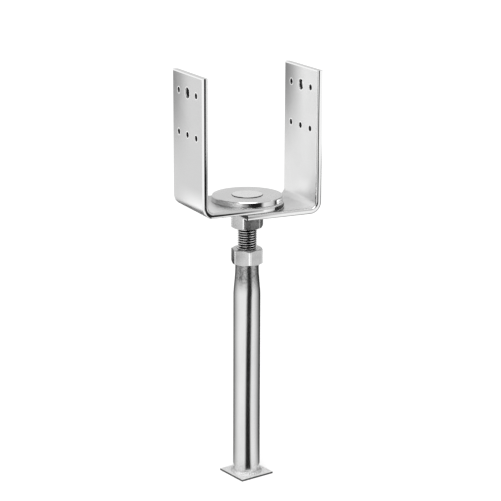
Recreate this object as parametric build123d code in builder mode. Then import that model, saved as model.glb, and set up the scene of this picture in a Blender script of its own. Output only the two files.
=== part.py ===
from build123d import *
import os
from math import cos, radians, tan

# Timber post base with a U-shaped head on a height-adjusting screw.
# The frame has +Z up and +X across the head, from the upper to the lower bracket.
# Its origin is on the screw's axis, at the underside of the foot plate. Sizes are in millimetres.

# Flat bar of the two brackets
bar_width = 75.0
bar_thickness = 6.0
bar_edge_radius = 2.4
bend_inner_radius = 6.0

# Head
post_gap = 120.0
flange_rise = 140.0
head_height = 284.0
small_hole_d = 6.0
large_hole_d = 11.0
top_row_drop = 19.0
row_gap = 42.0
hole_pitch = 21.0

# Openings for the screw in the strips
screw_hole_gap = 1.0
width_travel = 18.0
lower_end_margin = 6.0

# Bearing disc
disc_d = 73.0
disc_thickness = 6.0
disc_edge = 0.8

# Screw with its riveted head
screw_d = 20.0
screw_in_tube = 110.0
screw_end_chamfer = 2.0
rivet_d = 31.4
rivet_sunk = 3.0
rivet_proud = 0.8
rivet_edge_radius = 0.5
seat_gap = 0.05
thread_gap = 0.05

# Hexagon nuts
nut_flats = 30.0
nut_height = 16.0
nut_face_inset = 0.4
nut_chamfer_angle = 30.0
nut_mouth = 0.8
clamp_nut_turn = 53.0
lock_nut_turn = 15.0
nut_corner_angle = 60.0
nut_corner_radius = 0.8
thread_shown = 22.0

# Tube with a swaged and tapped top
tube_wall = 3.0
tube_gap = 1.0
swage_wall = 2.05
swage_neck = 9.0
swage_taper = 22.0
swage_blend = 90.0
tapped_length = 30.0
tapped_run_out = 5.0
tube_rim_radius = 0.5

# Foot plate and its weld
foot_thickness = 2.0
foot_margin = 3.0
foot_turn = 10.5
foot_edge = 0.3
weld_leg = 3.0
weld_hollow = 0.3

# Smallest difference in length that tells one edge from another
match_tolerance = 0.02

# Levels, from the foot upwards
clamp_nut_z = head_height - nut_height
lock_nut_z = clamp_nut_z - thread_shown - nut_height
tube_top = lock_nut_z
taper_top = tube_top - swage_neck
taper_bottom = taper_top - swage_taper
screw_end = tube_top - screw_in_tube
upper_strip_z = head_height + bar_thickness
disc_z = upper_strip_z + bar_thickness
disc_top = disc_z + disc_thickness
flange_top = upper_strip_z + flange_rise
top_row_z = flange_top - top_row_drop
low_row_z = top_row_z - row_gap

# Radii and places across the axis
outer_x = post_gap / 2 + bar_thickness
bend_outer_radius = bend_inner_radius + bar_thickness
screw_hole_r = screw_d / 2 + screw_hole_gap
lower_end_x = -(screw_hole_r + lower_end_margin)
thread_bore_r = screw_d / 2 + thread_gap
tube_inner_r = screw_d / 2 + tube_gap
tube_outer_r = tube_inner_r + tube_wall
swage_r = thread_bore_r + swage_wall
foot_side = 2 * (tube_outer_r + weld_leg + foot_margin)


def flange_holes(face_x):
    """A row of small, large and small holes over a row of three small ones, at x = face_x."""
    with BuildSketch(Plane.YZ.offset(face_x)) as holes:
        with Locations((-hole_pitch, top_row_z), (hole_pitch, top_row_z)):
            Circle(small_hole_d / 2)
        with Locations((-hole_pitch, low_row_z), (0, low_row_z), (hole_pitch, low_row_z)):
            Circle(small_hole_d / 2)
        with Locations((0, top_row_z)):
            Circle(large_hole_d / 2)
    return holes.sketch


def rolled_edges(bracket):
    """Edges along the bar's two narrow rolled sides, apart from those of its sheared ends."""
    sides = bracket.faces().filter_by(Axis.Y).group_by(Axis.Y)
    rims = (sides[0] + sides[-1]).edges()
    return rims.filter_by(lambda edge: edge.length > bar_thickness + match_tolerance)


# Upper bracket: its flange is at -X, and its strip lies on top and ends in a half round about the screw
with BuildPart() as upper_bracket:
    with BuildSketch(Plane.XZ):
        with BuildLine():
            FilletPolyline(
                (-outer_x, flange_top),
                (-outer_x, upper_strip_z),
                (0, upper_strip_z),
                radius=bend_outer_radius,
            )
            offset(amount=bar_thickness, side=Side.LEFT)
        make_face()
    extrude(amount=bar_width / 2, both=True)
    with BuildSketch(Plane.XY.offset(upper_strip_z)):
        Circle(bar_width / 2)
    extrude(amount=bar_thickness)
    fillet(rolled_edges(upper_bracket), radius=bar_edge_radius)
    with BuildSketch(Plane.XY.offset(upper_strip_z)):
        Circle(screw_hole_r)
    extrude(amount=bar_thickness, mode=Mode.SUBTRACT)
    extrude(flange_holes(-outer_x), amount=bar_thickness, both=True, mode=Mode.SUBTRACT)
upper_bracket.part.label = "upper_bracket"

# Lower bracket: its flange is at +X, and its strip lies beneath, with a square end and a slot for the screw
with BuildPart() as lower_bracket:
    with BuildSketch(Plane.XZ):
        with BuildLine():
            FilletPolyline(
                (outer_x, flange_top),
                (outer_x, head_height),
                (lower_end_x, head_height),
                radius=bend_outer_radius,
            )
            offset(amount=bar_thickness, side=Side.RIGHT)
        make_face()
    extrude(amount=bar_width / 2, both=True)
    fillet(rolled_edges(lower_bracket), radius=bar_edge_radius)
    with BuildSketch(Plane.XY.offset(head_height)):
        with Locations((width_travel / 2, 0)):
            SlotCenterToCenter(width_travel, 2 * screw_hole_r)
    extrude(amount=bar_thickness, mode=Mode.SUBTRACT)
    extrude(flange_holes(outer_x), amount=bar_thickness, both=True, mode=Mode.SUBTRACT)
lower_bracket.part.label = "lower_bracket"

# Bearing disc: a turned plate with a counterbored seat for the screw's riveted head
with BuildPart() as bearing_disc:
    with BuildSketch(Plane.XY.offset(disc_z)):
        Circle(disc_d / 2)
    extrude(amount=disc_thickness)
    chamfer(bearing_disc.edges().filter_by(GeomType.CIRCLE), length=disc_edge)
    with Locations((0, 0, disc_top)):
        CounterBoreHole(
            radius=thread_bore_r,
            counter_bore_radius=rivet_d / 2 + seat_gap,
            counter_bore_depth=rivet_sunk,
        )
bearing_disc.part.label = "bearing_disc"

# Adjusting screw: a riveted head, a shank through disc and strips, and a long end inside the tube
with BuildPart() as adjusting_screw:
    with BuildSketch(Plane.XZ) as screw_half:
        with BuildLine():
            Polyline(
                (0, screw_end),
                (screw_d / 2, screw_end),
                (screw_d / 2, disc_top - rivet_sunk),
                (rivet_d / 2, disc_top - rivet_sunk),
                (rivet_d / 2, disc_top + rivet_proud),
                (0, disc_top + rivet_proud),
                close=True,
            )
        make_face()
        head_corner = screw_half.vertices().group_by(Axis.Y)[-1].sort_by(Axis.X)[-1]
        fillet(head_corner, radius=rivet_edge_radius)
        end_corner = screw_half.vertices().group_by(Axis.Y)[0].sort_by(Axis.X)[-1]
        chamfer(end_corner, length=screw_end_chamfer)
    revolve(axis=Axis.Z)
adjusting_screw.part.label = "adjusting_screw"


def nut_blank(base_z):
    """Half section of the turned blank whose two cones cut the hexagon's corners."""
    corner_r = nut_flats / 2 / cos(radians(nut_corner_angle / 2))
    face_r = nut_flats / 2 - nut_face_inset
    cone_rise = (corner_r - face_r) * tan(radians(nut_chamfer_angle))
    with BuildSketch(Plane.XZ) as section:
        with BuildLine():
            Polyline(
                (0, base_z),
                (face_r, base_z),
                (corner_r, base_z + cone_rise),
                (corner_r, base_z + nut_height - cone_rise),
                (face_r, base_z + nut_height),
                (0, base_z + nut_height),
                close=True,
            )
        make_face()
    return section.sketch


def hexagon(base_z, turn):
    """The nut's six flats, with a corner at the angle turn from +X."""
    with BuildSketch(Plane.XY.offset(base_z)) as outline:
        RegularPolygon(nut_flats / 2, 6, major_radius=False, rotation=turn)
        fillet(outline.vertices(), radius=nut_corner_radius)
    return outline.sketch


# Clamp nut: pulls both strips up against the disc
with BuildPart() as clamp_nut:
    extrude(hexagon(clamp_nut_z, clamp_nut_turn), amount=nut_height)
    revolve(nut_blank(clamp_nut_z), axis=Axis.Z, mode=Mode.INTERSECT)
    with Locations((0, 0, clamp_nut_z + nut_height)):
        Hole(thread_bore_r)
    bore_rims = clamp_nut.edges().filter_by(GeomType.CIRCLE).filter_by(
        lambda edge: abs(edge.radius - thread_bore_r) < match_tolerance
    )
    chamfer(bore_rims, length=nut_mouth)
clamp_nut.part.label = "clamp_nut"

# Lock nut: tightened down on the rim of the tube
with BuildPart() as lock_nut:
    extrude(hexagon(lock_nut_z, lock_nut_turn), amount=nut_height)
    revolve(nut_blank(lock_nut_z), axis=Axis.Z, mode=Mode.INTERSECT)
    with Locations((0, 0, lock_nut_z + nut_height)):
        Hole(thread_bore_r)
    bore_rims = lock_nut.edges().filter_by(GeomType.CIRCLE).filter_by(
        lambda edge: abs(edge.radius - thread_bore_r) < match_tolerance
    )
    chamfer(bore_rims, length=nut_mouth)
lock_nut.part.label = "lock_nut"

# Tube: pressed narrower at the top, where it is tapped for the screw
with BuildPart() as tube:
    with BuildSketch(Plane.XZ):
        with BuildLine():
            outside = FilletPolyline(
                (tube_outer_r, foot_thickness),
                (tube_outer_r, taper_bottom),
                (swage_r, taper_top),
                (swage_r, tube_top),
                radius=swage_blend,
            )
            inside = Polyline(
                (tube_inner_r, foot_thickness),
                (tube_inner_r, tube_top - tapped_length - tapped_run_out),
                (thread_bore_r, tube_top - tapped_length),
                (thread_bore_r, tube_top),
            )
            Line(outside @ 0, inside @ 0)
            Line(outside @ 1, inside @ 1)
        make_face()
    revolve(axis=Axis.Z)
    rim = tube.edges().filter_by(GeomType.CIRCLE).group_by(Axis.Z)[-1].sort_by(SortBy.RADIUS)[-1]
    fillet(rim, radius=tube_rim_radius)
tube.part.label = "tube"

# Foot plate: a sheared square that keeps the tube from turning or pulling out of the concrete
with BuildPart() as foot_plate:
    with BuildSketch(Plane.XY):
        Rectangle(foot_side, foot_side, rotation=foot_turn)
    extrude(amount=foot_thickness)
    chamfer(foot_plate.faces().sort_by(Axis.Z)[-1].edges(), length=foot_edge)
foot_plate.part.label = "foot_plate"

# Foot weld: a fillet of weld metal in the corner between tube and plate
with BuildPart() as foot_weld:
    with BuildSketch(Plane.XZ):
        with BuildLine():
            middle = weld_leg / 2 - weld_hollow
            root = Polyline(
                (tube_outer_r + weld_leg, foot_thickness),
                (tube_outer_r, foot_thickness),
                (tube_outer_r, foot_thickness + weld_leg),
            )
            ThreePointArc(root @ 1, (tube_outer_r + middle, foot_thickness + middle), root @ 0)
        make_face()
    revolve(axis=Axis.Z)
foot_weld.part.label = "foot_weld"

os.makedirs("parts", exist_ok=True)
export_step(upper_bracket.part, "parts/upper_bracket.step")
export_step(lower_bracket.part, "parts/lower_bracket.step")
export_step(bearing_disc.part, "parts/bearing_disc.step")
export_step(adjusting_screw.part, "parts/adjusting_screw.step")
export_step(clamp_nut.part, "parts/clamp_nut.step")
export_step(lock_nut.part, "parts/lock_nut.step")
export_step(tube.part, "parts/tube.step")
export_step(foot_plate.part, "parts/foot_plate.step")
export_step(foot_weld.part, "parts/foot_weld.step")
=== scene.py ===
import bpy
import math
import numpy as np
from mathutils import Matrix, Vector


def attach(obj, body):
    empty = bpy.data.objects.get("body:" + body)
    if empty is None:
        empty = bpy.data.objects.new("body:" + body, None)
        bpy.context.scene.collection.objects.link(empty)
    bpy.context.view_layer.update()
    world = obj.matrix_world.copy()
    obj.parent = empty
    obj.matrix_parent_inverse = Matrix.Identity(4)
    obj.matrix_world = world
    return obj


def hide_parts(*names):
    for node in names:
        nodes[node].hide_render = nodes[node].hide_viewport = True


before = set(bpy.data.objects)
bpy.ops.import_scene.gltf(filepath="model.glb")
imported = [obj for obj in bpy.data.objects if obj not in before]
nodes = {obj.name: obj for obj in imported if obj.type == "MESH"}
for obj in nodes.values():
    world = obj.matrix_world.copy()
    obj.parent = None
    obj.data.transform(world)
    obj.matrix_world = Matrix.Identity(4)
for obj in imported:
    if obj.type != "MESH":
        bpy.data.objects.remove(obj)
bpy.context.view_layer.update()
print("stage: frame loaded,", len(nodes), "solids")


# small helpers for meshes and node trees

# Quads of a grid whose point (i, j) has the number i * columns + j.
def gridFaces(rows, columns, closeColumns=False):
    lastColumn = columns if closeColumns else columns - 1
    i, j = np.meshgrid(np.arange(rows - 1), np.arange(lastColumn), indexing="ij")
    k = (j + 1) % columns
    quads = np.stack([i * columns + j, i * columns + k, (i + 1) * columns + k, (i + 1) * columns + j], -1)
    return quads.reshape(-1, 4)


# Puts points and faces into a new object, shades it smooth up to an angle and lets it ride on a body.
def makePiece(name, points, quads, body, smoothAngle=35.0):
    mesh = bpy.data.meshes.new(name)
    mesh.from_pydata(points.tolist(), [], quads.tolist())
    mesh.validate()
    mesh.update()
    piece = bpy.data.objects.new(name, mesh)
    bpy.context.scene.collection.objects.link(piece)
    mesh.shade_smooth()
    mesh.set_sharp_from_angle(angle=math.radians(smoothAngle))
    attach(piece, body)
    return piece


# A material's node tree with short calls for the nodes that the finishes use.
class Nodes:

    def __init__(self, name, plain=False):
        self.material = bpy.data.materials.new(name)
        self.material.use_nodes = True
        self.tree = self.material.node_tree
        self.tree.nodes.clear()
        self.output = self.tree.nodes.new("ShaderNodeOutputMaterial")
        if not plain:
            self.shader = self.tree.nodes.new("ShaderNodeBsdfPrincipled")
            self.join(self.shader.outputs[0], self.output.inputs["Surface"])
        self.place = self.tree.nodes.new("ShaderNodeTexCoord").outputs["Object"]
        split = self.tree.nodes.new("ShaderNodeSeparateXYZ")
        self.join(self.place, split.inputs[0])
        self.x, self.y, self.z = split.outputs

    def join(self, source, socket):
        self.tree.links.new(source, socket)

    def feed(self, socket, value):
        if isinstance(value, bpy.types.NodeSocket):
            self.join(value, socket)
        else:
            socket.default_value = value

    def math(self, operation, first, second=0.0):
        node = self.tree.nodes.new("ShaderNodeMath")
        node.operation = operation
        for socket, value in zip(node.inputs, (first, second)):
            self.feed(socket, value)
        return node.outputs[0]

    def length(self, first, second):
        squares = [self.math("MULTIPLY", side, side) for side in (first, second)]
        return self.math("SQRT", self.math("ADD", *squares))

    # The value's way from low to high, eased at both ends, as a number from toLow to toHigh.
    def ramp(self, value, low, high, toLow=0.0, toHigh=1.0):
        node = self.tree.nodes.new("ShaderNodeMapRange")
        node.interpolation_type = "SMOOTHSTEP"
        for socket, item in zip(node.inputs, (value, low, high, toLow, toHigh)):
            self.feed(socket, item)
        return node.outputs[0]

    def noise(self, scale, detail=2.0, stretch=(1, 1, 1), roughness=0.5):
        mapping = self.tree.nodes.new("ShaderNodeMapping")
        mapping.inputs["Scale"].default_value = stretch
        self.join(self.place, mapping.inputs["Vector"])
        node = self.tree.nodes.new("ShaderNodeTexNoise")
        node.inputs["Scale"].default_value = scale
        node.inputs["Detail"].default_value = detail
        node.inputs["Roughness"].default_value = roughness
        self.join(mapping.outputs[0], node.inputs["Vector"])
        return node.outputs["Fac"]

    def mix(self, factor, first, second):
        node = self.tree.nodes.new("ShaderNodeMix")
        node.data_type = "RGBA"
        self.feed(node.inputs["Factor"], factor)
        for socket, value in ((node.inputs["A"], first), (node.inputs["B"], second)):
            self.feed(socket, value if isinstance(value, bpy.types.NodeSocket) else (*value, 1.0))
        return node.outputs["Result"]

    def bump(self, height, strength, distance, normal=None):
        node = self.tree.nodes.new("ShaderNodeBump")
        node.inputs["Strength"].default_value = strength
        node.inputs["Distance"].default_value = distance
        self.join(height, node.inputs["Height"])
        if normal is not None:
            self.join(normal, node.inputs["Normal"])
        return node.outputs[0]

    def finish(self, color, roughness, normal, metallic=1.0):
        self.feed(self.shader.inputs["Base Color"], color)
        self.feed(self.shader.inputs["Roughness"], roughness)
        self.shader.inputs["Metallic"].default_value = metallic
        self.join(normal, self.shader.inputs["Normal"])
        return self.material


# Gives a CAD node's object its material.
def dress(name, material):
    mesh = nodes[name].data
    mesh.materials.clear()
    mesh.materials.append(material)


def grey(level):
    return (level, level, level)


# zinc finishes

# The part of a noise's values over which it turns from its dark to its light tone, its middle, how many
# finer layers it has, and how strongly those show in the blotches of heat and pressing.
cloudRange = (0.3, 0.7)
noiseMiddle = 0.5
cloudDetail = 4.0
coarseDetail = 3.0
blotchRoughness = 0.6

# Its shade and bright ranges place painted shade and painted light; the tones of the edges, hole walls, torn
# band and hole rims are painted highlight and painted shade in part or in whole.
bracketLook = {
    "light": 0.73, "dark": 0.67, "shadeY": (-0.012, 0.038), "shadeZ": (0.315, 0.43),
    "brightZ": (0.320, 0.296), "brightY": (0.030, -0.025), "brightFar": 0.1,
    "roughness": (0.32, 0.42), "edgeRoughness": 0.07, "edge": 0.74,
    "cloudScale": 38.0, "speckleScale": 1400.0, "speckleRange": (0.62, 0.8, 0.0, 0.3), "speckleTone": 0.55,
    "rolledScale": 900.0, "rolledStretch": (0.05, 1.0, 0.05), "waverScale": 420.0, "waver": 0.0010,
    "speckleBump": (0.25, 0.00006), "rolledBump": (0.3, 0.00005),
    "rolledFrom": 0.0347, "thickness": 0.006, "outerBend": 0.012, "endHeight": 0.4286,
    "smallShear": (0.0005, 0.0045), "largeShear": (0.0012, 0.0042), "lineSoftness": 0.0003,
    "skin": (0.0001, 0.0003), "edgeSoftness": 0.0002, "beyondLarge": 0.001,
    "wallShare": 0.9, "wallTone": 0.9, "tornAndShadeTone": 0.03,
    "smallHoles": [(-0.021, 0.411), (0.021, 0.411), (-0.021, 0.369), (0.0, 0.369), (0.021, 0.369)],
    "largeHole": (0.0, 0.411), "smallRadius": 0.003, "largeRadius": 0.0055,
    "holeHighlight": (0.0004, 0.0012), "holeHighlightTone": 0.88,
}


# Satin zinc on flat bar with rounded edges. The walls of its punched holes show a bright band at the
# punch's side, burnished and partly painted light, then a dark torn band that is mostly painted shade deep in
# the hole, then a bright one again, painted light where the hole opens at the back. The first band is
# narrower in the small holes, told from the large one by the distance from its axis. The depth under the
# outer face is the bend's outer radius less the distance from the bend's axis, taken only where a point lies
# beyond that axis. The bar's rounded edges are rolled smooth and have a lighter tone that is partly a painted
# highlight. Painted shade darkens the bar towards the top of the edge away from the camera, and painted light
# brightens it down by the bend, towards the camera. Each hole has a painted highlight round its rim, by the
# least distance from a hole's axis less that hole's radius. The painted light tone scales the bar's colour,
# so that one bracket is painted darker than the other.
def bracketZinc(name, side, outerX, underZ, paintedLightTone, shaded, bright):
    look = bracketLook
    n = Nodes(name)
    holes = [(y, z, look["smallRadius"]) for y, z in look["smallHoles"]]
    holes.append((*look["largeHole"], look["largeRadius"]))
    fromHole = 1.0
    for y, z, holeRadius in holes:
        fromAxis = n.length(n.math("SUBTRACT", n.y, y), n.math("SUBTRACT", n.z, z))
        fromHole = n.math("MINIMUM", fromHole, n.math("SUBTRACT", fromAxis, holeRadius))
    radius, thickness = look["outerBend"], look["thickness"]
    beyondX = n.math("MAXIMUM", n.math("SUBTRACT", n.math("MULTIPLY", n.x, side), outerX - radius), 0.0)
    beyondZ = n.math("MAXIMUM", n.math("SUBTRACT", underZ + radius, n.z), 0.0)
    depth = n.math("SUBTRACT", radius, n.length(beyondX, beyondZ))
    thin, thick = look["skin"]
    fromBack = n.math("SUBTRACT", thickness, depth)
    inside = n.math("MULTIPLY", n.ramp(depth, thin, thick), n.ramp(fromBack, thin, thick))
    middle = n.ramp(n.math("ABSOLUTE", n.y), look["rolledFrom"] + look["edgeSoftness"], look["rolledFrom"])
    below = n.ramp(n.z, look["endHeight"] + look["edgeSoftness"], look["endHeight"])
    wall = n.math("MULTIPLY", inside, n.math("MULTIPLY", middle, below))
    fromMiddle = n.math("SUBTRACT", n.noise(look["waverScale"], coarseDetail), noiseMiddle)
    waver = n.math("MULTIPLY", fromMiddle, look["waver"])
    inWall = n.math("ADD", depth if side < 0 else fromBack, waver)
    near = look["largeRadius"] + look["beyondLarge"]
    far = near + look["beyondLarge"]
    bands = zip(look["largeShear"], look["smallShear"])
    first, last = [n.ramp(fromAxis, near, far, large, small) for large, small in bands]
    soft = look["lineSoftness"]
    starts = n.ramp(n.math("SUBTRACT", inWall, first), 0.0, soft)
    tornAndShade = n.math("MULTIPLY", starts, n.ramp(n.math("SUBTRACT", inWall, last), soft, 0.0))
    cloud = n.ramp(n.noise(look["cloudScale"], cloudDetail), *cloudRange)
    speckle = n.noise(look["speckleScale"])
    rolled = n.noise(look["rolledScale"], stretch=look["rolledStretch"])
    # The painted light tone scales both zinc tones, painting one bracket darker than the other.
    color = n.mix(cloud, grey(paintedLightTone * look["dark"]), grey(paintedLightTone * look["light"]))
    # Painted shade towards the top of the edge away from the camera.
    dull = n.math("MULTIPLY", n.ramp(n.y, *look["shadeY"]), n.ramp(n.z, *look["shadeZ"]))
    color = n.mix(dull, color, grey(shaded))
    # Painted light down by the bend, towards the camera.
    towardsCamera = n.ramp(n.y, *look["brightY"], look["brightFar"], 1.0)
    paintedLightByBend = n.math("MULTIPLY", n.ramp(n.z, *look["brightZ"]), towardsCamera)
    color = n.mix(paintedLightByBend, color, grey(bright))
    color = n.mix(n.ramp(speckle, *look["speckleRange"]), color, grey(look["speckleTone"]))
    # Painted highlight round each hole's rim.
    color = n.mix(n.ramp(fromHole, *look["holeHighlight"], 1.0, 0.0), color, grey(look["holeHighlightTone"]))
    # Bright hole walls: partly burnished zinc, partly painted light where light reaches into the hole.
    color = n.mix(n.math("MULTIPLY", wall, look["wallShare"]), color, grey(look["wallTone"]))
    # Dark torn band in the hole walls: partly the torn zone, mostly painted shade deep in the hole.
    color = n.mix(n.math("MULTIPLY", tornAndShade, wall), color, grey(look["tornAndShadeTone"]))
    face = n.math("MULTIPLY", middle, below)
    # The rolled edges' lighter tone is partly a painted highlight.
    color = n.mix(face, grey(look["edge"]), color)
    faceRough = n.ramp(cloud, 0.0, 1.0, *look["roughness"])
    rough = n.ramp(face, 0.0, 1.0, look["edgeRoughness"], faceRough)
    normal = n.bump(n.math("MULTIPLY", speckle, face), *look["speckleBump"])
    normal = n.bump(rolled, *look["rolledBump"], normal)
    return n.finish(color, rough, normal)


discLook = {
    "light": 0.80, "dark": 0.72, "roughness": (0.20, 0.28), "ringScale": 5200.0, "ringSlope": 0.4,
    "cloudScale": 55.0, "speckleScale": 1500.0, "speckleRange": (0.6, 0.78, 0.0, 0.25), "speckleTone": 0.55,
    "seatRadius": 0.01578, "seamWidth": 0.00022, "seamAndShadeTone": 0.05,
    "rimRadius": 0.0360, "rimSoftness": 0.0002, "rimRoughness": 0.10, "rim": 0.64,
    "ringBump": (0.12, 0.00004), "speckleBump": (0.15, 0.00005),
}


# Turned zinc with fine rings about the axis and a dark seam round the riveted head, a dark joint that is also
# painted shade. A ring's height is the sine of the ring scale times its radius and a share of its height, so
# that the rim is turned too.
def discZinc(name):
    look = discLook
    n = Nodes(name)
    radius = n.length(n.x, n.y)
    along = n.math("ADD", radius, n.math("MULTIPLY", n.z, look["ringSlope"]))
    rings = n.math("SINE", n.math("MULTIPLY", along, look["ringScale"]))
    cloud = n.ramp(n.noise(look["cloudScale"], cloudDetail), *cloudRange)
    speckle = n.noise(look["speckleScale"])
    fromSeam = n.math("ABSOLUTE", n.math("SUBTRACT", radius, look["seatRadius"]))
    seam = n.ramp(fromSeam, look["seamWidth"], 2 * look["seamWidth"], 1.0, 0.0)
    color = n.mix(cloud, grey(look["dark"]), grey(look["light"]))
    color = n.mix(n.ramp(speckle, *look["speckleRange"]), color, grey(look["speckleTone"]))
    # Dark seam round the head: a dark joint, and painted shade where head and disc meet.
    color = n.mix(seam, color, grey(look["seamAndShadeTone"]))
    onRim = n.ramp(radius, look["rimRadius"], look["rimRadius"] + look["rimSoftness"])
    color = n.mix(onRim, color, grey(look["rim"]))
    faceRough = n.ramp(cloud, 0.0, 1.0, *look["roughness"])
    rough = n.ramp(onRim, 0.0, 1.0, faceRough, look["rimRoughness"])
    normal = n.bump(rings, *look["ringBump"])
    normal = n.bump(speckle, *look["speckleBump"], normal)
    return n.finish(color, rough, normal)


screwLook = {
    "light": 1.0, "dark": 0.94, "root": 0.01, "head": 0.93, "seam": 0.04, "roughness": (0.24, 0.34),
    "rootR": 0.0090, "crestR": 0.0095, "headZ": (0.2985, 0.2990), "seamR": (0.0153, 0.0155),
    "seamZ": (0.3027, 0.3025), "cloudScale": 90.0, "speckleScale": 1700.0, "speckleBump": (0.2, 0.00005),
}


# Bright crests over thread roots painted near black as shade, by the distance from the screw's axis, and a
# bright head whose low side wall is painted dark as shade at the seam.
def screwZinc(name):
    look = screwLook
    n = Nodes(name)
    radius = n.length(n.x, n.y)
    cloud = n.ramp(n.noise(look["cloudScale"], coarseDetail), *cloudRange)
    speckle = n.noise(look["speckleScale"])
    crest = n.ramp(radius, look["rootR"], look["crestR"])
    onHead = n.ramp(n.z, *look["headZ"])
    outer = n.ramp(radius, *look["seamR"])
    low = n.ramp(n.z, *look["seamZ"])
    seam = n.math("MULTIPLY", onHead, n.math("MULTIPLY", outer, low))
    color = n.mix(cloud, grey(look["dark"]), grey(look["light"]))
    # Thread roots painted near black as shade.
    color = n.mix(crest, grey(look["root"]), color)
    color = n.mix(onHead, color, grey(look["head"]))
    # The head's low side wall painted dark as shade.
    color = n.mix(seam, color, grey(look["seam"]))
    rough = n.ramp(cloud, 0.0, 1.0, *look["roughness"])
    normal = n.bump(speckle, *look["speckleBump"])
    return n.finish(color, rough, normal)


nutLook = {
    "light": 0.62, "dark": 0.52, "corner": 0.95, "cornerR": (0.0164, 0.0168), "roughness": (0.2, 0.3),
    "cloudScale": 110.0, "dragScale": 1300.0, "dragStretch": (1.0, 1.0, 0.06), "dragBump": (0.25, 0.00006),
}


# Cold formed nut: smooth flats with faint drag lines along Z, and bright corners, partly rubbed by the
# spanner and partly a painted highlight.
def nutZinc(name):
    look = nutLook
    n = Nodes(name)
    radius = n.length(n.x, n.y)
    cloud = n.ramp(n.noise(look["cloudScale"], cloudDetail), *cloudRange)
    drag = n.noise(look["dragScale"], stretch=look["dragStretch"])
    color = n.mix(cloud, grey(look["dark"]), grey(look["light"]))
    # Bright corners: spanner wear and painted highlight.
    color = n.mix(n.ramp(radius, *look["cornerR"]), color, grey(look["corner"]))
    rough = n.ramp(cloud, 0.0, 1.0, *look["roughness"])
    normal = n.bump(drag, *look["dragBump"])
    return n.finish(color, rough, normal)


tubeLook = {
    "light": 0.68, "dark": 0.62, "roughness": (0.15, 0.21),
    "pressed": 0.19, "neckZ": (0.198, 0.220), "pressedRange": (0.34, 0.58, 1.0, 0.55), "pressedRough": 0.05,
    "heated": 0.45, "heatZ": (0.022, 0.006), "heatedRange": (0.42, 0.6, 0.7, 0.0),
    "cloudScale": 60.0, "cloudStretch": (1.0, 1.0, 0.35),
    "lineScale": 1500.0, "lineStretch": (1.0, 1.0, 0.015),
    "speckleScale": 1500.0, "mottleScale": 620.0, "lineBump": (0.25, 0.00005), "speckleBump": (0.12, 0.00005),
}


# Drawn tube with long faint die lines. Where its top was pressed narrower, under the nut, it is rougher and
# painted dark and mottled as the nut's shade, and the weld's heat has speckled its foot.
def tubeZinc(name):
    look = tubeLook
    n = Nodes(name)
    cloud = n.ramp(n.noise(look["cloudScale"], cloudDetail, stretch=look["cloudStretch"]), *cloudRange)
    dieLines = n.noise(look["lineScale"], stretch=look["lineStretch"])
    speckle = n.noise(look["speckleScale"])
    mottle = n.noise(look["mottleScale"], coarseDetail, roughness=blotchRoughness)
    pressed = n.ramp(n.z, *look["neckZ"])
    heated = n.ramp(n.z, *look["heatZ"])
    color = n.mix(cloud, grey(look["dark"]), grey(look["light"]))
    # Painted shade under the nut, mottled, on the narrow neck.
    dull = n.math("MULTIPLY", pressed, n.ramp(mottle, *look["pressedRange"]))
    burnt = n.math("MULTIPLY", heated, n.ramp(mottle, *look["heatedRange"]))
    color = n.mix(dull, color, grey(look["pressed"]))
    color = n.mix(burnt, color, grey(look["heated"]))
    faceRough = n.ramp(cloud, 0.0, 1.0, *look["roughness"])
    rough = n.math("ADD", faceRough, n.math("MULTIPLY", pressed, look["pressedRough"]))
    normal = n.bump(dieLines, *look["lineBump"])
    normal = n.bump(speckle, *look["speckleBump"], normal)
    return n.finish(color, rough, normal)


footLook = {
    "light": 0.93, "dark": 0.74, "edge": 0.06, "edgeZ": (0.0019, 0.0017), "roughness": (0.5, 0.62),
    "metallic": 0.35, "cloudScale": 520.0, "cloudRange": (0.46, 0.62), "speckleScale": 1200.0,
    "speckleBump": (0.3, 0.00006),
}


# Zinc over sheared plate, blotched by the heat of the weld, with its sheared sides painted dark as shade.
def footZinc(name):
    look = footLook
    n = Nodes(name)
    cloud = n.ramp(n.noise(look["cloudScale"], cloudDetail, roughness=blotchRoughness), *look["cloudRange"])
    speckle = n.noise(look["speckleScale"])
    color = n.mix(cloud, grey(look["light"]), grey(look["dark"]))
    # Sheared sides painted dark as shade.
    color = n.mix(n.ramp(n.z, *look["edgeZ"]), color, grey(look["edge"]))
    rough = n.ramp(cloud, 0.0, 1.0, *look["roughness"])
    normal = n.bump(speckle, *look["speckleBump"])
    return n.finish(color, rough, normal, look["metallic"])


weldLook = {
    "light": 0.80, "dark": 0.55, "roughness": (0.5, 0.62), "metallic": 0.6,
    "pitScale": 700.0, "pitRange": (0.48, 0.66), "grainScale": 1300.0, "grainBump": (0.35, 0.0001),
}


# Weld metal under zinc: uneven, with small dark pits.
def weldZinc(name):
    look = weldLook
    n = Nodes(name)
    pits = n.ramp(n.noise(look["pitScale"], coarseDetail, roughness=blotchRoughness), *look["pitRange"])
    color = n.mix(pits, grey(look["light"]), grey(look["dark"]))
    rough = n.ramp(pits, 0.0, 1.0, *look["roughness"])
    normal = n.bump(n.noise(look["grainScale"]), *look["grainBump"])
    return n.finish(color, rough, normal, look["metallic"])


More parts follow.
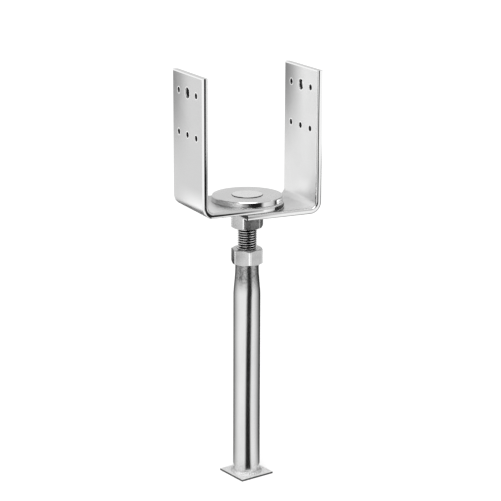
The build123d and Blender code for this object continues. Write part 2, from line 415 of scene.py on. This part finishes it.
# The two brackets are the same zinc. The upper one's lower tone is painted shade and the lower one's higher
# tone is painted light; their shaded and bright values are painted shade and painted light too.
upperLook = {"side": -1.0, "outerX": 0.066, "underZ": 0.290, "paintedLightTone": 0.82, "shaded": 0.23, "bright": 0.92}
lowerLook = {"side": 1.0, "outerX": 0.066, "underZ": 0.284, "paintedLightTone": 1.02, "shaded": 0.20, "bright": 0.97}
dress("upper_bracket", bracketZinc("upperBracketZinc", **upperLook))
dress("lower_bracket", bracketZinc("lowerBracketZinc", **lowerLook))
dress("bearing_disc", discZinc("discZinc"))
nutMaterial = nutZinc("nutZinc")
dress("clamp_nut", nutMaterial)
dress("lock_nut", nutMaterial)
dress("tube", tubeZinc("tubeZinc"))
dress("foot_plate", footZinc("footZinc"))
print("stage: finishes on the solids")


# screw with its real thread

threadShape = {
    "radius": 0.010, "pitch": 0.0025, "depth": 0.00153, "rootExtra": 0.00012,
    "profileParts": [0.0, 0.125, 0.28, 0.4375, 0.5625, 0.6875, 0.845],
    "profileDrops": [0.0, 0.0, 0.5, 1.0, 1.0, 1.0, 0.5], "rootRow": 4,
    "bottom": 0.120, "top": 0.2991, "endChamfer": 0.002, "turnSteps": 72, "leastSpread": 1e-7,
    "headRadius": 0.0157, "headBottom": 0.299, "headTop": 0.3028, "headEdge": 0.0005, "headSteps": 144,
    "headBendPoints": 7, "headTopShare": 0.5, "poleRadius": 1e-5, "smoothAngle": 28.0,
}


# A right-hand helix of the ISO profile. Point (i, j) stands at the angle a = 2 pi j / steps and at the
# height of profile row i plus pitch * a / 2 pi, cut off level at both ends; its radius is the profile's, or
# less where the end chamfer's cone is nearer to the axis.
def threadSurface(shape):
    steps, pitch = shape["turnSteps"], shape["pitch"]
    part = np.array(shape["profileParts"])
    drop = np.array(shape["profileDrops"]) * shape["depth"]
    drop[shape["rootRow"]] += shape["rootExtra"]
    perTurn = len(part)
    turns = int(math.ceil((shape["top"] - shape["bottom"]) / pitch)) + 2
    height = (np.arange(turns)[:, None] + part[None, :]).ravel() * pitch + shape["bottom"] - pitch
    radius = np.tile(shape["radius"] - drop, turns)
    angle = 2 * np.pi * np.arange(steps) / steps
    z = np.clip(height[:, None] + pitch * angle[None, :] / (2 * np.pi), shape["bottom"], shape["top"])
    r = np.minimum(radius[:, None], shape["radius"] - shape["endChamfer"] + (z - shape["bottom"]))
    points = np.stack([r * np.cos(angle), r * np.sin(angle), z], -1).reshape(-1, 3)
    rows = len(height)
    inside = gridFaces(rows, steps)
    i = np.arange(rows - 1 - perTurn)
    last = steps - 1
    turnOn = (i + perTurn) * steps
    seam = np.stack([i * steps + last, turnOn, turnOn + steps, (i + 1) * steps + last], -1)
    quads = np.concatenate([inside, seam])
    spread = np.ptp(points[quads][:, :, 2], axis=1)
    quads = quads[spread > shape["leastSpread"]]
    return points, quads


# A profile of (radius, height) points carried round the Z axis. Its ends are a hair off the axis, so that
# no two points of a ring fall together.
def turnedSurface(profile, steps):
    angle = 2 * np.pi * np.arange(steps) / steps
    r, z = profile[:, :1], profile[:, 1:]
    points = np.stack([r * np.cos(angle), r * np.sin(angle), z + 0 * angle], -1).reshape(-1, 3)
    return points, gridFaces(len(profile), steps, closeColumns=True)


# The riveted head's half section, from its underside out, up and round its edge to its top.
def headProfile(shape):
    r, edge, top = shape["headRadius"], shape["headEdge"], shape["headTop"]
    bend = np.linspace(0.0, np.pi / 2, shape["headBendPoints"])
    rounded = np.stack([r - edge + edge * np.cos(bend), top - edge + edge * np.sin(bend)], -1)
    start = np.array([[shape["poleRadius"], shape["headBottom"]], [r, shape["headBottom"]]])
    end = np.array([[shape["headTopShare"] * r, top], [shape["poleRadius"], top]])
    return np.concatenate([start, rounded, end])


# Several point and face sets as one.
def mergeShells(shells):
    starts = np.cumsum([0] + [len(points) for points, quads in shells[:-1]])
    points = np.concatenate([points for points, quads in shells])
    quads = np.concatenate([shell[1] + start for shell, start in zip(shells, starts)])
    return points, quads


endRadius = threadShape["radius"] - threadShape["endChamfer"]
endCap = np.array([[threadShape["poleRadius"], threadShape["bottom"]], [endRadius, threadShape["bottom"]]])
shells = [
    threadSurface(threadShape),
    turnedSurface(headProfile(threadShape), threadShape["headSteps"]),
    turnedSurface(endCap, threadShape["turnSteps"]),
]
screwPoints, screwQuads = mergeShells(shells)
screwAngle = threadShape["smoothAngle"]
screwPiece = makePiece("threadedScrew", screwPoints, screwQuads, "screw", screwAngle)
screwMaterial = screwZinc("screwZinc")
screwPiece.data.materials.append(screwMaterial)
dress("adjusting_screw", screwMaterial)
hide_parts("adjusting_screw")
print("stage: screw,", len(screwQuads), "faces")


# weld bead round the tube's foot

weldShape = {
    "tubeRadius": 0.014, "plateZ": 0.002, "leg": 0.003, "sunk": 0.00005, "hollow": 0.0002,
    "ripples": 34, "rippleHeight": 0.00022, "rippleLag": 0.35, "wander": 0.00025,
    "slowWave": (3, 0.7, 1.0), "quickWave": (7, 2.1, 0.6), "waveSum": 1.6,
    "steps": 408, "rows": 13, "smoothAngle": 50.0,
}


# A ring in the corner of tube and plate. Point (i, j) stands at the angle a = 2 pi j / steps and the share
# t of the way down the bead's face, which runs from the tube's wall to the plate. The face is hollowed by
# the hollow times the swell, 4 t (1 - t). The leg wanders by two sines of a. Out from the corner the face is
# raised by a ripple, the cosine of ripples * a plus a lag that grows towards the face's edges, times the
# swell, so that the ripples die out at the toes. A sunk row closes the ring behind.
def weldSurface(shape):
    a = 2 * np.pi * np.arange(shape["steps"]) / shape["steps"]
    t = np.linspace(0.0, 1.0, shape["rows"])[:, None]
    kinds = (shape["slowWave"], shape["quickWave"])
    waves = [share * np.sin(count * a + shift) for count, shift, share in kinds]
    leg = shape["leg"] + shape["wander"] * (waves[0] + waves[1]) / shape["waveSum"] - shape["wander"]
    swell = 4 * t * (1 - t)
    lag = shape["rippleLag"] * 2 * np.pi * (2 * t - 1) ** 2
    ripple = shape["rippleHeight"] * np.cos(shape["ripples"] * a + lag) * swell
    off = (ripple - shape["hollow"] * swell) / math.sqrt(2)
    outward = leg * t + off
    upward = leg * (1 - t) + off
    r = shape["tubeRadius"] - shape["sunk"] + outward
    z = shape["plateZ"] - shape["sunk"] + upward
    back = np.full((1, len(a)), shape["tubeRadius"] - 2 * shape["sunk"])
    r = np.concatenate([r, back, r[:1]])
    z = np.concatenate([z, np.full_like(back, shape["plateZ"] - 2 * shape["sunk"]), z[:1]])
    points = np.stack([r * np.cos(a), r * np.sin(a), z], -1).reshape(-1, 3)
    return points, gridFaces(len(r), shape["steps"], closeColumns=True)[:, ::-1]


weldPoints, weldQuads = weldSurface(weldShape)
weldPiece = makePiece("weldBead", weldPoints, weldQuads, "base", weldShape["smoothAngle"])
weldMaterial = weldZinc("weldZinc")
weldPiece.data.materials.append(weldMaterial)
dress("foot_weld", weldMaterial)
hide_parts("foot_weld")
print("stage: weld bead,", len(weldQuads), "faces")


# floor, light and camera

floorLook = {"half": 14.0, "color": 0.8, "lift": (0.35, 0.60), "liftReach": (0.5, 3.0)}


# Adds a node of one type to a tree and sets the values that its inputs keep.
def shaderNode(tree, kind, **values):
    node = tree.nodes.new(kind)
    for label, value in values.items():
        node.inputs[label].default_value = value
    return node


# Plain pale floor: a matt white that the camera and the metal see a little brighter than it is lit, and
# more so far from the object, by the distance from its middle.
def paleFloor(look):
    half = look["half"]
    mesh = bpy.data.meshes.new("paleFloor")
    corners = [(-half, -half, 0), (half, -half, 0), (half, half, 0), (-half, half, 0)]
    mesh.from_pydata(corners, [], [(0, 1, 2, 3)])
    floor = bpy.data.objects.new("paleFloor", mesh)
    bpy.context.scene.collection.objects.link(floor)
    n = Nodes("paleFloorPaint", plain=True)
    matt = shaderNode(n.tree, "ShaderNodeBsdfDiffuse", Color=(*grey(look["color"]), 1.0))
    path = n.tree.nodes.new("ShaderNodeLightPath")
    seen = n.math("MAXIMUM", path.outputs["Is Camera Ray"], path.outputs["Is Glossy Ray"])
    glow = n.tree.nodes.new("ShaderNodeEmission")
    lift = n.ramp(n.length(n.x, n.y), *look["liftReach"], *look["lift"])
    n.join(n.math("MULTIPLY", seen, lift), glow.inputs["Strength"])
    both = n.tree.nodes.new("ShaderNodeAddShader")
    n.join(matt.outputs[0], both.inputs[0])
    n.join(glow.outputs[0], both.inputs[1])
    n.join(both.outputs[0], n.output.inputs["Surface"])
    mesh.materials.append(n.material)
    return floor


# A square soft box at a place, turned to a target.
def softLamp(name, place, target, size, power):
    data = bpy.data.lights.new(name, "AREA")
    data.shape = "SQUARE"
    data.size = size
    data.energy = power
    lamp = bpy.data.objects.new(name, data)
    lamp.location = place
    lamp.rotation_euler = (Vector(target) - Vector(place)).to_track_quat("-Z", "Y").to_euler()
    bpy.context.scene.collection.objects.link(lamp)
    return lamp


flagGrid = {"columns": 49, "rows": 25, "floorRows": 12, "lift": 0.001}


# Smooth step of a share between nought and one.
def smoothStep(share):
    share = np.clip(share, 0.0, 1.0)
    return share * share * (3 - 2 * share)


# The direction from the object to the camera, as an angle about Z.
def cameraSide():
    turn = math.radians(photoCamera["turn"])
    return math.atan2(-math.cos(turn), -math.sin(turn))


# A dark flag that only reflections show. It runs out over the floor and then stands up in a curve about the
# object, or hangs clear of the floor if it has a bottom. Point (i, j) lies in the direction
# start + (end - start) * u + twist * height, with u from 0 to 1 over the columns, in degrees from the camera
# to the right. Its shade is the product of smooth steps in from its two sides, each as many degrees wide as
# its soft value says, down from its top, and up from its bottom if it hangs.
def studioFlag(name, start, end, softStart, softEnd, radius, top, level,
               bottom=0.0, twist=0.0, softTop=0.03, inner=0.03):
    grid = flagGrid
    across = np.linspace(0.0, end - start, grid["columns"])[None, :]
    height = np.linspace(max(bottom, grid["lift"]), top, grid["rows"])[:, None]
    out = np.full_like(height, radius)
    if bottom <= grid["lift"]:
        lying = np.linspace(inner, radius, grid["floorRows"])[:-1, None]
        out = np.concatenate([lying, out])
        height = np.concatenate([np.full_like(lying, grid["lift"]), height])
    a = cameraSide() + np.radians(start + across + twist * height)
    points = np.stack([out * np.cos(a), out * np.sin(a), height + 0 * a], -1).reshape(-1, 3)
    sides = smoothStep(across / softStart) * smoothStep((end - start - across) / softEnd)
    shade = sides * smoothStep((top - height) / softTop)
    if bottom > grid["lift"]:
        shade = shade * smoothStep((height - bottom) / softTop)
    mesh = bpy.data.meshes.new(name)
    mesh.from_pydata(points.tolist(), [], gridFaces(len(height), grid["columns"]).tolist())
    mesh.attributes.new("shade", "FLOAT", "POINT").data.foreach_set("value", shade.astype(np.float32).ravel())
    flag = bpy.data.objects.new(name, mesh)
    bpy.context.scene.collection.objects.link(flag)
    n = Nodes(name, plain=True)
    clear = n.tree.nodes.new("ShaderNodeBsdfTransparent")
    dull = shaderNode(n.tree, "ShaderNodeEmission", Color=(*grey(level), 1.0))
    mixed = n.tree.nodes.new("ShaderNodeMixShader")
    felt = n.tree.nodes.new("ShaderNodeAttribute")
    felt.attribute_name = "shade"
    n.join(felt.outputs["Fac"], mixed.inputs[0])
    n.join(clear.outputs[0], mixed.inputs[1])
    n.join(dull.outputs[0], mixed.inputs[2])
    n.join(mixed.outputs[0], n.output.inputs["Surface"])
    mesh.materials.append(n.material)
    flag.visible_camera = False
    flag.visible_diffuse = False
    flag.visible_shadow = False
    flag.visible_transmission = False
    return flag


photoCamera = {
    "turn": 25.935, "distance": 1.68470, "height": 0.69157, "sideStep": 0.003502,
    "pitch": 14.908, "roll": 0.218, "focusPixels": 1699.05, "framePixels": 501, "sensorWidth": 36.0,
    "clipEnd": 60.0,
}


# The photo's camera, found from picture points: it stands off by turn, distance and side step, looks down
# by pitch and tilts by roll.
def placeCamera(look):
    turn, pitch, roll = (math.radians(look[k]) for k in ("turn", "pitch", "roll"))
    forward = Vector((math.sin(turn) * math.cos(pitch), math.cos(turn) * math.cos(pitch), -math.sin(pitch)))
    level = Vector((math.cos(turn), -math.sin(turn), 0.0))
    up = level.cross(forward)
    right = level * math.cos(roll) + up * math.sin(roll)
    up = up * math.cos(roll) - level * math.sin(roll)
    place = Vector((-math.sin(turn), -math.cos(turn), 0.0)) * look["distance"] + level * look["sideStep"]
    place.z = look["height"]
    data = bpy.data.cameras.new("photoCamera")
    data.sensor_fit = "HORIZONTAL"
    data.sensor_width = look["sensorWidth"]
    data.lens = look["focusPixels"] * data.sensor_width / look["framePixels"]
    data.clip_end = look["clipEnd"]
    camera = bpy.data.objects.new("photoCamera", data)
    camera.matrix_world = Matrix.Translation(place) @ Matrix((right, up, -forward)).transposed().to_4x4()
    bpy.context.scene.collection.objects.link(camera)
    bpy.context.scene.camera = camera
    return camera


lampLook = {"place": (-0.5, -0.6, 1.9), "target": (0.0, 0.0, 0.2), "size": 1.4, "power": 16.0}
placeCamera(photoCamera)
paleFloor(floorLook)
softLamp("topSoftBox", **lampLook)

flagLook = {
    "frontFlag": {"start": -18.0, "end": 39.0, "softStart": 17.0, "softEnd": 14.0, "twist": 62.0,
                  "radius": 0.25, "top": 0.31, "level": 0.025},
    "rightFlag": {"start": 55.0, "end": 172.0, "softStart": 85.0, "softEnd": 25.0,
                  "radius": 0.25, "top": 0.32, "level": 0.01},
    "leftFlag": {"start": -185.0, "end": -55.0, "softStart": 20.0, "softEnd": 110.0,
                 "radius": 0.25, "top": 0.205, "level": 0.01},
    "rimFlag": {"start": 84.0, "end": 166.0, "softStart": 16.0, "softEnd": 20.0,
                "radius": 0.25, "bottom": 0.18, "top": 0.29, "level": 0.01},
    "rimFrontFlag": {"start": -34.0, "end": 40.0, "softStart": 48.0, "softEnd": 12.0,
                     "radius": 0.25, "bottom": 0.19, "top": 0.27, "level": 0.02},
    "edgeFlag": {"start": -18.0, "end": 40.0, "softStart": 9.0, "softEnd": 9.0,
                 "radius": 0.25, "bottom": 0.24, "top": 0.52, "level": 0.0},
    "lockNutFlag": {"start": -80.0, "end": -29.0, "softStart": 8.0, "softEnd": 20.0,
                    "radius": 0.10, "bottom": 0.201, "top": 0.229, "softTop": 0.005, "level": 0.0},
    "clampNutFlag": {"start": -125.0, "end": -72.0, "softStart": 8.0, "softEnd": 20.0,
                     "radius": 0.10, "bottom": 0.229, "top": 0.266, "softTop": 0.005, "level": 0.02},
}
for flagName, values in flagLook.items():
    studioFlag(flagName, **values)

# White air that the camera sees at full strength, and that lights the object less strongly.
worldLook = {"light": 0.75, "seen": 1.0}
world = bpy.data.worlds.new("studioAir")
bpy.context.scene.world = world
world.use_nodes = True
air = world.node_tree
wide = air.nodes["Background"]
wide.inputs["Color"].default_value = (1.0, 1.0, 1.0, 1.0)
eye = air.nodes.new("ShaderNodeLightPath")
glare = shaderNode(air, "ShaderNodeMapRange")
glare.inputs["To Min"].default_value = worldLook["light"]
glare.inputs["To Max"].default_value = worldLook["seen"]
air.links.new(eye.outputs["Is Camera Ray"], glare.inputs["Value"])
air.links.new(glare.outputs[0], wide.inputs["Strength"])
bpy.context.scene.view_settings.view_transform = "Standard"
print("stage: floor, light and camera")
